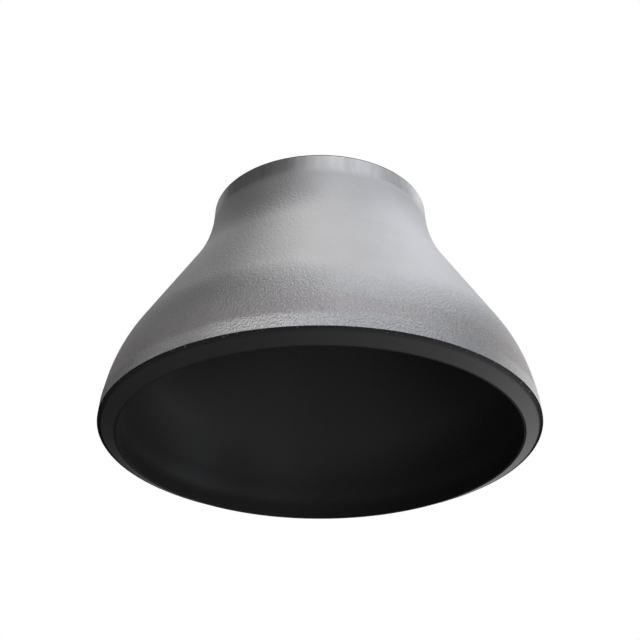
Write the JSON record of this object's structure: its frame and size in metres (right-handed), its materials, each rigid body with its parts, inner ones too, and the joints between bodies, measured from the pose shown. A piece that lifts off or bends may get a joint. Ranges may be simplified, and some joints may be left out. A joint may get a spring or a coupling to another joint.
{
  "type": "concentric pipe reducer",
  "caption": "Bell-shaped steel concentric pipe reducer with bevelled butt-weld ends, a convex shoulder, a straight cone, a hollow neck and a smooth through bore.",
  "frame": {"origin": "centre of the wide end's root face, where the wide end stands on a flat surface", "axes": "+Z along the flow axis from the wide end to the small end; X and Y are any two directions across it, because the reducer is round"},
  "size_m": [0.3236, 0.3236, 0.203],
  "materials": {
    "blasted_steel": "matte shot-blasted carbon steel with a fine pebbled grain outside; the bevels, the root faces and the bore have a thin black satin coat"
  },
  "bodies": {
    "root": {"reducer_body": "blasted_steel"}
  },
  "joints": []
}
